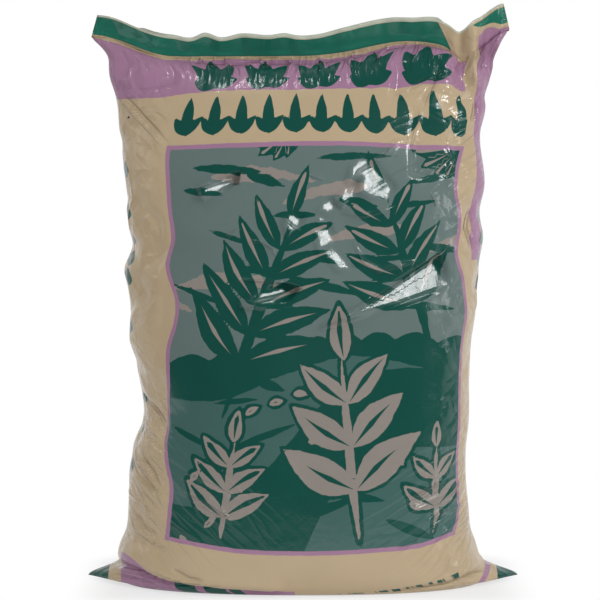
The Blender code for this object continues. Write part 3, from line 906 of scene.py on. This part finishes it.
# (v, u) of the left edge of the mauve strip on the right, and (x, z) of the prints on the tip
STRIP_LINE = (
    (0.400, 0.2190), (0.4313, 0.2191), (0.4531, 0.2135), (0.4714, 0.2180), (0.502, 0.2205),
    (0.5624, 0.2343), (0.602, 0.2370), (0.6313, 0.2400), (0.670, 0.2390), (0.695, 0.2340),
    (0.712, 0.2270),
)
TIP_MAUVE = ((0.2085, 0.6655), (0.2215, 0.6768), (0.2300, 0.6778), (0.2395, 0.6740), (0.2505, 0.6695))
TIP_GREEN = ((0.2035, 0.6790), (0.2120, 0.6780), (0.2300, 0.6833), (0.2395, 0.6815), (0.2505, 0.6850))
X, Y, Z = np.moveaxis(settled_film, 2, 0)
on_fin = np.arange(RINGS)[:, None] > SEAL_RING
strip = face_u - smooth_curve(V, STRIP_LINE)
strip = np.where(on_fin, np.minimum(X - 0.2110, smooth_curve(X, TIP_MAUVE) - Z), strip)
tip_green = np.where(on_fin, np.minimum(Z - smooth_curve(X, TIP_GREEN), X - 0.2035), -0.01)
foot = np.minimum(smooth_curve(P, FOOT_FOLD) - Q, np.minimum(X + 0.2225, 0.060 - Z))
ear_tip = np.minimum(np.abs(X) - 0.2390, 0.030 - Z)
ribbon = np.minimum(0.0042 - np.abs(X - 0.2140 - Z * 0.72), np.minimum(0.030 - Z, -Y))
print("mauve strip on", int((strip > 0).sum()), "points, foot piece on", int((foot > 0).sum()))

# %% Places of the fine creases


def patches(*ovals):
    """The sum of ovals (u, v, half width, half height, share), each a bell."""
    total = np.zeros(U.shape)
    for centre_u, centre_v, wide, high, share in ovals:
        total += share * bell(np.hypot((U - centre_u) / wide, (V - centre_v) / high), 1.0)
    return total


fine_falling = patches(
    (-0.215, 0.160, 0.045, 0.080, 1.0), (-0.120, 0.125, 0.060, 0.045, 0.6),
    (-0.205, 0.600, 0.040, 0.035, 0.3), (-0.220, 0.300, 0.030, 0.060, 0.3),
    (0.330, 0.180, 0.080, 0.100, 0.8),
)
fine_rising = patches(
    (0.185, 0.125, 0.075, 0.050, 1.0), (0.240, 0.180, 0.030, 0.080, 0.9),
    (0.215, 0.060, 0.060, 0.030, 0.8), (0.130, 0.560, 0.050, 0.040, 0.5),
    (-0.330, 0.180, 0.080, 0.100, 0.8), (0.230, 0.560, 0.030, 0.060, 0.8),
)
fine_upright = smooth_step((V - 0.655) / 0.030) * smooth_step((seal_v + 0.006 - V) / 0.006)
fine_upright *= smooth_step((face_u + 0.175) / 0.03)
fine_upright += 0.5 * smooth_step((np.abs(face_u) - 0.225) / 0.03)
dented = smooth_step((np.abs(face_u) - 0.165) / 0.03)

# Each of these becomes an attribute of the mesh, under this name.
MARKS = {
    "pale_leaf": pale_leaf, "pale_rib": pale_rib, "pale_run": pale_run, "pale_stem": pale_stem,
    "dark_leaf": dark_leaf, "dark_rib": dark_rib, "dark_run": dark_run, "dark_stem": dark_stem,
    "row_leaf": row_leaf, "ground": ground, "hedge": hedge, "pale_streak": pale_streak,
    "field": field, "field_slit": field_slit, "foot": foot, "ear_tip": ear_tip, "ribbon": ribbon,
    "fine_falling": fine_falling, "fine_rising": fine_rising, "fine_upright": fine_upright,
    "dented": dented, "strip": strip, "tip_green": tip_green, "crest_gap": crest_gap,
    "crest_rise": crest_rise,
}
print("marks kept on the film:", len(MARKS))

# %% [markdown]
# ## The film's mesh
#
# The grid becomes one closed mesh: squares between the rings, a flat patch where the bag
# stands, and a narrow strip over the fin's free edge, which shows the rear film's bare edge.

# %% Mesh
BEYOND_TOP = 0.004


def film_mesh(points):
    """A closed mesh of the ring grid, with the print's coordinates as a UV map of the corners."""
    grid = np.arange(RINGS * POINTS_ROUND).reshape(RINGS, POINTS_ROUND)
    right = np.roll(grid, -1, axis=1)
    squares = np.stack([grid[:-1], right[:-1], right[1:], grid[1:]], axis=2).reshape(-1, 4)
    columns = np.tile(np.arange(POINTS_ROUND), RINGS - 1)
    quarter, half = POINTS_ROUND // 4, POINTS_ROUND // 2
    step = np.arange(-quarter, quarter)
    front = np.stack([step % POINTS_ROUND, (step + 1) % POINTS_ROUND])
    rear = np.stack([(half - step) % POINTS_ROUND, (half - step - 1) % POINTS_ROUND])
    patch = np.stack([front[0], rear[0], rear[1], front[1]], axis=1)
    edge = patch[:, ::-1] + (RINGS - 1) * POINTS_ROUND
    # At a patch's two ends corners coincide, and the square loses them.
    faces = [list(dict.fromkeys(face)) for face in np.concatenate([squares, patch, edge]).tolist()]
    mesh = bpy.data.meshes.new("compost_bag_film")
    mesh.from_pydata(points.reshape(-1, 3).tolist(), [], faces)

    # A corner on the line between the two faces of the tube takes its own face's side of it.
    p, q = P.ravel(), Q.ravel()
    corners = np.empty(len(mesh.loops), dtype=np.int32)
    mesh.loops.foreach_get("vertex_index", corners)
    corner_p, corner_q = p[corners].copy(), q[corners].copy()
    square_corners = squares.size
    column = np.repeat(columns, 4)
    point = corners[:square_corners] % POINTS_ROUND
    on_rear = (column >= quarter) & (column < POINTS_ROUND - quarter)
    corner_p[:square_corners][on_rear & (point == quarter)] = -FILM_WIDTH / 2
    corner_p[:square_corners][on_rear & (point == POINTS_ROUND - quarter)] = FILM_WIDTH / 2
    top_corner = np.arange(len(corners)) >= square_corners
    behind = top_corner & (corners >= (RINGS - 1) * POINTS_ROUND)
    rear_point = np.abs((corners % POINTS_ROUND) - half) < quarter
    corner_q[behind & rear_point] += BEYOND_TOP
    layer = mesh.uv_layers.new(name="film_print")
    layer.data.foreach_set("uv", np.stack([corner_p, corner_q], axis=1).ravel().astype(np.float32))
    for name, values in MARKS.items():
        mark = mesh.attributes.new(name=name, type="FLOAT", domain="POINT")
        mark.data.foreach_set("value", values.ravel().astype(np.float32))
    mesh.shade_smooth()
    mesh.validate()
    mesh.update()
    return mesh


bag = bpy.data.objects.new("compost_bag_film", film_mesh(settled_film))
bpy.context.scene.collection.objects.link(bag)
triangles = sum(len(face.vertices) - 2 for face in bag.data.polygons)
print("film mesh:", len(bag.data.vertices), "points,", triangles, "triangles")

# %% [markdown]
# ## Shader maths
#
# A material is a sheet of nodes. To write its maths as plain expressions, a small class wraps
# a node's output, and its operators add the nodes.

# %% Shader maths


class Ink:
    """A number or colour on its way through a material's nodes."""

    def __init__(self, sheet, socket):
        self.sheet, self.socket = sheet, socket

    def math(self, operation, *values, **settings):
        """The result of a maths node with these values."""
        settings = {"operation": operation, **settings}
        return self.sheet.add("ShaderNodeMath", settings, dict(enumerate(values)))

    def __add__(self, other):
        return self.math("ADD", self, other)

    def __sub__(self, other):
        return self.math("SUBTRACT", self, other)

    def __rsub__(self, other):
        return self.math("SUBTRACT", other, self)

    def __mul__(self, other):
        return self.math("MULTIPLY", self, other)

    def __neg__(self):
        return self.math("MULTIPLY", self, -1.0)

    def __abs__(self):
        return self.math("ABSOLUTE", self)

    def lower(self, other):
        return self.math("MINIMUM", self, other)

    def higher(self, other):
        return self.math("MAXIMUM", self, other)

    def cut(self, softness=0.0005):
        """1 where the value is above zero and 0 below, with an edge of the given softness."""
        return self.math("MULTIPLY_ADD", self, 1.0 / softness, 0.5, use_clamp=True)

    __radd__ = __add__
    __rmul__ = __mul__


class Sheet:
    """The nodes of a material or of the world."""

    def __init__(self, owner):
        self.owner = owner
        owner.use_nodes = True
        self.tree = owner.node_tree
        self.shader = self.tree.nodes.get("Principled BSDF")

    def add(self, kind, settings=None, values=None, out=0):
        """A node of a kind, its settings, then the values or links of its sockets."""
        node = self.tree.nodes.new(kind)
        for name, value in (settings or {}).items():
            setattr(node, name, value)
        for socket, value in (values or {}).items():
            self.link(node.inputs[socket], value)
        return Ink(self, node.outputs[out])

    def link(self, socket, value):
        """Gives a socket a node's output or a plain value."""
        if isinstance(value, Ink):
            self.tree.links.new(value.socket, socket)
        else:
            socket.default_value = value

    def mix(self, first, second, share):
        """From the first colour to the second."""
        colours = [(*c, 1.0) if isinstance(c, tuple) and len(c) == 3 else c for c in (first, second)]
        sockets = {0: share, 6: colours[0], 7: colours[1]}
        return self.add("ShaderNodeMix", {"data_type": "RGBA"}, sockets, out=2)

    def noise(self, place, scale, detail, **settings):
        """The noise of a size at a place, from 0 to 1."""
        values = {"Vector": place, "Scale": scale, "Detail": detail}
        return self.add("ShaderNodeTexNoise", settings, values)

    def finish(self, **values):
        """Sets the shader's values, and returns the sheet's owner."""
        for name, value in values.items():
            if isinstance(value, tuple) and len(value) == 3:
                value = (*value, 1.0)
            self.link(self.shader.inputs[name.replace("_", " ")], value)
        return self.owner


def srgb(red, green, blue):
    """A colour as a screen shows it, 0 to 255, in the renderer's linear light."""
    shares = np.array([red, green, blue]) / 255.0
    linear = np.where(shares <= 0.04045, shares / 12.92, ((shares + 0.055) / 1.055) ** 2.4)
    return tuple(float(value) for value in linear)


# %% [markdown]
# ## The printed film
#
# The film is milky beige plastic with four inks: a deep green, a greyed green, a pale grey and
# a mauve. The inks lie in fields that meet along clean edges, with the slight waver of a
# rubber printing plate. The film itself is glossy, with a softer sheen over it, and creases too
# small for the mesh are left to a bump.

# %% Printed film
BEIGE = srgb(194, 173, 141)
MAUVE = srgb(168, 126, 155)
DEEP_GREEN = srgb(16, 80, 70)
GREY_GREEN = srgb(106, 124, 121)
FIELD_GREEN = srgb(70, 106, 101)
PALE_GREY = srgb(150, 142, 135)
BAND_GREEN = srgb(34, 116, 96)
BARE_FILM = srgb(196, 200, 182)
VENT = srgb(60, 48, 36)
VENT_PLACE, VENT_RADIUS = (-0.2340, 0.6110, 0.0), 0.0019
FRAME_LINE = 0.0056
HEADER_TOP, FIN_FOOT = 0.7122, 0.7135
BAND_BOTTOM, BAND_TOP, BARE_FROM = 0.7222, 0.7538, 0.7543
STRIP_BOTTOM, STRIP_TOP = 0.4280, 0.7500

sheet = Sheet(bpy.data.materials.new("printed_film"))
film_place = sheet.add("ShaderNodeUVMap", {"uv_map": "film_print"})
place = sheet.add("ShaderNodeSeparateXYZ", values={0: film_place})
p, q = Ink(sheet, place.socket.node.outputs[0]), Ink(sheet, place.socket.node.outputs[1])
waver = (sheet.noise(film_place, 70.0, 2.0, noise_dimensions="2D") - 0.5) * 0.0035
mark = {name: sheet.add("ShaderNodeAttribute", {"attribute_name": name}, out=2) for name in MARKS}


def between(value, low, high, softness=0.0005):
    """1 where the value lies between two limits."""
    return (value - low).lower(high - value).cut(softness)


print("the film's print reads", len(mark), "marks")

# %% The picture, from its background to its front leaves
sky = (mark["hedge"] + waver).cut()
picture = sheet.mix(DEEP_GREEN, GREY_GREEN, sky)
picture = sheet.mix(picture, PALE_GREY, (mark["pale_streak"] + waver * 2).cut() * sky)
under_hedge = (-mark["ground"] - 0.004 + waver).cut()
field = mark["field"].lower(-mark["field_slit"]) + waver * 0.5
picture = sheet.mix(picture, FIELD_GREEN, field.cut() * under_hedge)
dark_plant = mark["dark_leaf"].higher(mark["dark_stem"]) + waver
picture = sheet.mix(picture, DEEP_GREEN, dark_plant.cut())
dark_slit = 0.0026 - abs(mark["dark_rib"]) - abs(mark["dark_run"] - 0.050) * 0.075
picture = sheet.mix(picture, PALE_GREY, dark_slit.cut() * (mark["dark_leaf"] - 0.003).cut())
pale_plant = mark["pale_leaf"].higher(mark["pale_stem"]) + waver
picture = sheet.mix(picture, DEEP_GREEN, (pale_plant + 0.0045).cut())
picture = sheet.mix(picture, PALE_GREY, pale_plant.cut())
pale_slit = 0.0034 - abs(mark["pale_rib"]) - abs(mark["pale_run"] - 0.036) * 0.10
picture = sheet.mix(picture, DEEP_GREEN, pale_slit.cut() * (mark["pale_leaf"] - 0.003).cut())
print("nodes after the picture:", len(sheet.tree.nodes))

# %% The layout of the face
edge = waver * 0.35


def in_box(margin):
    """1 inside the frame's rectangle, made smaller by a margin."""
    in_width = between(p + edge, PANEL_LEFT + margin, PANEL_RIGHT - margin)
    return in_width * between(q + edge, PANEL_BOTTOM + margin, PANEL_TOP - margin)


in_frame, in_panel = in_box(0.0), in_box(FRAME_LINE)
header_top = HEADER_TOP - (-0.120 - p).cut(0.06) * 0.0035
under_top = (header_top - q + waver * 1.6).cut() * (PANEL_RIGHT - p).cut()
in_header = between(q + waver, HEADER_BOTTOM, FIN_FOOT) * under_top
in_strip = mark["strip"].cut() * (q - STRIP_BOTTOM).cut() * (STRIP_TOP - q).cut()
on_sides = (abs(p) - 0.226).cut() * (0.575 - q).cut()
on_rows = between(p, -0.166, 0.208) * (q - PANEL_TOP).cut() + on_sides
in_foot = mark["foot"].cut() * (-0.010 - p).cut()
on_ribbon = mark["ribbon"].cut()

# Short blocks of print stand on the folds over the foot.
slant = p + q * 0.5
foot_blocks = between(slant, -0.143, -0.119).higher(between(slant, -0.109, -0.083))
foot_blocks = foot_blocks.higher(between(slant, -0.079, -0.065))
foot_blocks = foot_blocks * (mark["foot"] - 0.004 + waver).cut()
block_values = {"W": p + q * 0.6, "Scale": 60.0, "Detail": 1.0}
block = sheet.add("ShaderNodeTexNoise", {"noise_dimensions": "1D"}, block_values)
right_fold = 0.029 + (p - 0.150) * 0.17 - q
on_right_fold = (0.0022 + p * 0.016 - abs(right_fold) + waver).cut()
right_blocks = (block - 0.50).cut(0.02) * between(p, 0.036, 0.205) * on_right_fold
ear_green = mark["ear_tip"].cut()
in_mauve = in_header.higher(in_strip).higher(in_frame).higher(in_foot).higher(on_ribbon)
face = sheet.mix(BEIGE, MAUVE, in_mauve)
face = sheet.mix(face, picture, in_panel)
row_plant = (mark["row_leaf"] + waver * 0.4).cut() * on_rows * (HEADER_TOP - q).cut()
in_green = row_plant.higher(foot_blocks).higher(right_blocks).higher(ear_green)
face = sheet.mix(face, DEEP_GREEN, in_green)
print("nodes after the face:", len(sheet.tree.nodes))

# %% The fin's band, the vent and the ink
# The green band is folded away beside the right corner, and shows again at its tip.
left_of_pleat = (0.190 - (q - BAND_BOTTOM) * 0.6 - p).cut()
at_tip = mark["tip_green"].cut() * (0.7518 - q).cut()
in_band = between(q + edge, BAND_BOTTOM, BAND_TOP) * left_of_pleat
face = sheet.mix(face, BAND_GREEN, in_band.higher(at_tip))
face = sheet.mix(face, BARE_FILM, (q - BARE_FROM).cut())
vent_values = {0: film_place, 1: VENT_PLACE}
vent = sheet.add("ShaderNodeVectorMath", {"operation": "DISTANCE"}, vent_values, out=1)
face = sheet.mix(face, VENT, (VENT_RADIUS - vent).cut())

# Ink that lies a little thicker or thinner from place to place.
cloud = sheet.noise(film_place, 14.0, 4.0, noise_dimensions="2D")
shade = sheet.add("ShaderNodeMix", {"data_type": "RGBA", "blend_type": "MULTIPLY"}, {
    0: 1.0, 6: face, 7: sheet.mix((0.94, 0.94, 0.94), (1.05, 1.05, 1.05), cloud)}, out=2)
print("nodes after the ink:", len(sheet.tree.nodes))

# %% Fine creases and gloss
# the height in metres of each kind of relief that the bump draws
RIDGE, SWELL, DENT, CREST = 0.00035, 0.0018, 0.0045, 2.0
FINE_CREASE, FINE_GATHER = 0.0036, 0.0026


def fine_creases(direction, seed):
    """1 on thin lines that run in a direction in degrees, falling to 0 beside them: the places
    where a noise that is drawn out along that direction passes its middle value."""
    turn = math.radians(direction)
    along = p * math.cos(turn) + q * math.sin(turn)
    across = q * math.cos(turn) - p * math.sin(turn)
    stretched = sheet.add("ShaderNodeCombineXYZ", values={
        0: along * 12.0, 1: across * 70.0, 2: seed})
    noise_values = {"Vector": stretched, "Scale": 1.0, "Detail": 1.0, "Roughness": 0.4}
    noise = sheet.add("ShaderNodeTexNoise", {}, noise_values)
    return (1 - abs(noise - 0.5) * 10.0).higher(0.0)


object_place = sheet.add("ShaderNodeTexCoord", out=3)
crinkle = sheet.add("ShaderNodeTexNoise", {}, {
    "Vector": object_place, "Scale": 85.0, "Detail": 3.0, "Roughness": 0.6, "Distortion": 0.6})
ridges = 1 - abs(crinkle - 0.5) * 2.0
swell = sheet.noise(object_place, 26.0, 2.0)
turned = sheet.add("ShaderNodeCombineXYZ", values={
    0: p * 30.0 + q * 22.0 + swell * 1.2, 1: q * 30.0 - p * 22.0 + swell})
dents = sheet.add("ShaderNodeTexVoronoi", {"voronoi_dimensions": "2D", "distance": "MANHATTAN"}, {
    "Vector": turned, "Scale": 1.0})
crest = (1 - mark["crest_gap"] * mark["crest_gap"]).higher(0.0)
crest = crest * crest * mark["crest_rise"] * CREST
relief = ridges * RIDGE + swell * SWELL + dents * mark["dented"] * DENT + crest
relief = relief + fine_creases(-40, 1.7) * mark["fine_falling"] * FINE_CREASE
relief = relief + fine_creases(27, 5.3) * mark["fine_rising"] * FINE_CREASE
relief = relief + fine_creases(88, 9.1) * mark["fine_upright"] * FINE_GATHER
bump = sheet.add("ShaderNodeBump", {}, {"Strength": 0.6, "Distance": 1.0, "Height": relief})
sheen = sheet.noise(object_place, 40.0, 3.0)
printed_film = sheet.finish(
    Base_Color=shade, Roughness=0.10 + sheen * 0.08, Coat_Weight=0.22, Coat_Roughness=0.30,
    Specular_IOR_Level=0.32, Normal=bump,
)
bag.data.materials.append(printed_film)
print("printed film:", len(sheet.tree.nodes), "nodes")

# %% [markdown]
# ## Floor and light
#
# The bag stands on a white table top against white, in front of a dim room. The table is lit
# as the bag is, so it keeps the soft shadow at the bag's foot, and away from the foot it is
# plain white, as the backdrop is. The gloss shows the white backdrop at the bag's edges and the
# dim room on its front. A high box at the right makes the glints, boxes at both sides shape the
# bag, and a strip from above catches the gathers. The gloss doesn't show the low fill, which
# only lifts the foot.

# %% Table top
TABLE_SIDE, TABLE_FRONT, TABLE_BACK = 2.5, -0.45, 4.0
WHITE = (1.0, 1.0, 1.0, 1.0)
corner_x, corner_y = np.meshgrid([-TABLE_SIDE, TABLE_SIDE], [TABLE_FRONT, TABLE_BACK])
table_points = np.stack([corner_x.ravel(), corner_y.ravel(), np.full(4, -0.0002)], axis=1)
table_mesh = bpy.data.meshes.new("table_top")
table_mesh.from_pydata(table_points.tolist(), [], [(0, 1, 3, 2)])
table_mesh.update()
table = bpy.data.objects.new("table_top", table_mesh)
bpy.context.scene.collection.objects.link(table)


def light_path(on_sheet):
    """1 for rays from the camera, and 1 for rays from gloss or through clear pieces."""
    outputs = on_sheet.add("ShaderNodeLightPath").socket.node.outputs
    names = ("Is Camera Ray", "Is Glossy Ray", "Is Transmission Ray")
    camera_ray, glossy, through = (Ink(on_sheet, outputs[name]) for name in names)
    return camera_ray, glossy.higher(through)


table_sheet = Sheet(bpy.data.materials.new("white_table"))
camera_ray, gloss_ray = light_path(table_sheet)
table_coordinates = table_sheet.add("ShaderNodeTexCoord", out=3)
table_place = table_sheet.add("ShaderNodeSeparateXYZ", values={0: table_coordinates})
table_x, table_y = table_place, Ink(table_sheet, table_place.socket.node.outputs[1])
gap_x, gap_y = (abs(table_x) - 0.22).higher(0.0), (abs(table_y) - 0.08).higher(0.0)
gap = gap_x.math("SQRT", gap_x * gap_x + gap_y * gap_y)
clear = table_sheet.add("ShaderNodeMapRange", {"interpolation_type": "SMOOTHSTEP"}, {
    0: gap, 1: 0.0, 2: 0.07, 3: 0.65, 4: 1.0})
glow = table_sheet.add("ShaderNodeEmission", values={"Color": WHITE, "Strength": 1.0})
table_sheet.finish(Base_Color=(0.86, 0.86, 0.86), Roughness=0.7)
lit = Ink(table_sheet, table_sheet.shader.outputs[0])
glowing = camera_ray.higher(gloss_ray) * clear
blend = table_sheet.add("ShaderNodeMixShader", values={0: glowing, 1: lit, 2: glow})
table_sheet.link(table_sheet.tree.nodes["Material Output"].inputs["Surface"], blend)
table_mesh.materials.append(table_sheet.owner)
print("table top:", 2 * TABLE_SIDE, "by", TABLE_BACK - TABLE_FRONT, "m")

# %% Surroundings
world = bpy.data.worlds.new("studio")
bpy.context.scene.world = world
room = Sheet(world)
camera_ray, gloss_ray = light_path(room)
direction = room.add("ShaderNodeSeparateXYZ", values={0: room.add("ShaderNodeTexCoord", out=0)})
behind = Ink(room, direction.socket.node.outputs[1]).cut(0.25)
backdrop = camera_ray.higher(gloss_ray * behind)
ambient, dim_front, white = (
    room.add("ShaderNodeBackground", values={"Color": WHITE, "Strength": strength})
    for strength in (0.44, 0.08, 1.0))
shown = room.add("ShaderNodeMixShader", values={0: gloss_ray, 1: ambient, 2: dim_front})
shown = room.add("ShaderNodeMixShader", values={0: backdrop, 1: shown, 2: white})
room.link(room.tree.nodes["World Output"].inputs["Surface"], shown)
print("surroundings:", len(room.tree.nodes), "nodes")

# %% Lamps


def soft_box(name, place, aim, width, height, power, seen_in_gloss=True):
    """A rectangle of light that faces a point."""
    lamp = bpy.data.lights.new(name, "AREA")
    lamp.shape = "RECTANGLE"
    lamp.size, lamp.size_y, lamp.energy = width, height, power
    holder = bpy.data.objects.new(name, lamp)
    holder.location = place
    holder.rotation_euler = (Vector(aim) - Vector(place)).to_track_quat("-Z", "Y").to_euler()
    holder.visible_glossy = seen_in_gloss
    bpy.context.scene.collection.objects.link(holder)


soft_box("high_box", HIGH_BOX_PLACE, (0.0, 0.0, 0.40), 0.36, 0.46, 13.2)
soft_box("side_box", (2.1, -1.1, 0.50), (0.0, 0.0, 0.25), 0.6, 0.7, 6.0)
soft_box("left_box", (-2.1, -0.7, 1.2), (0.0, 0.0, 0.30), 0.7, 0.9, 3.2)
soft_box("top_strip", (-0.45, -0.7, 2.5), (0.0, 0.0, 0.40), 0.40, 0.10, 4.0)
soft_box("low_fill", (0.2, -1.8, 0.15), (0.0, 0.0, 0.10), 0.8, 0.4, 4.5, seen_in_gloss=False)
bpy.context.scene.view_settings.view_transform = "Standard"
print("lamps:", len(bpy.data.lights))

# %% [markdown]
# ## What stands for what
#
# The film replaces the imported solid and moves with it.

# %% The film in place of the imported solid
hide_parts("compost_bag")
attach(bag, "root")
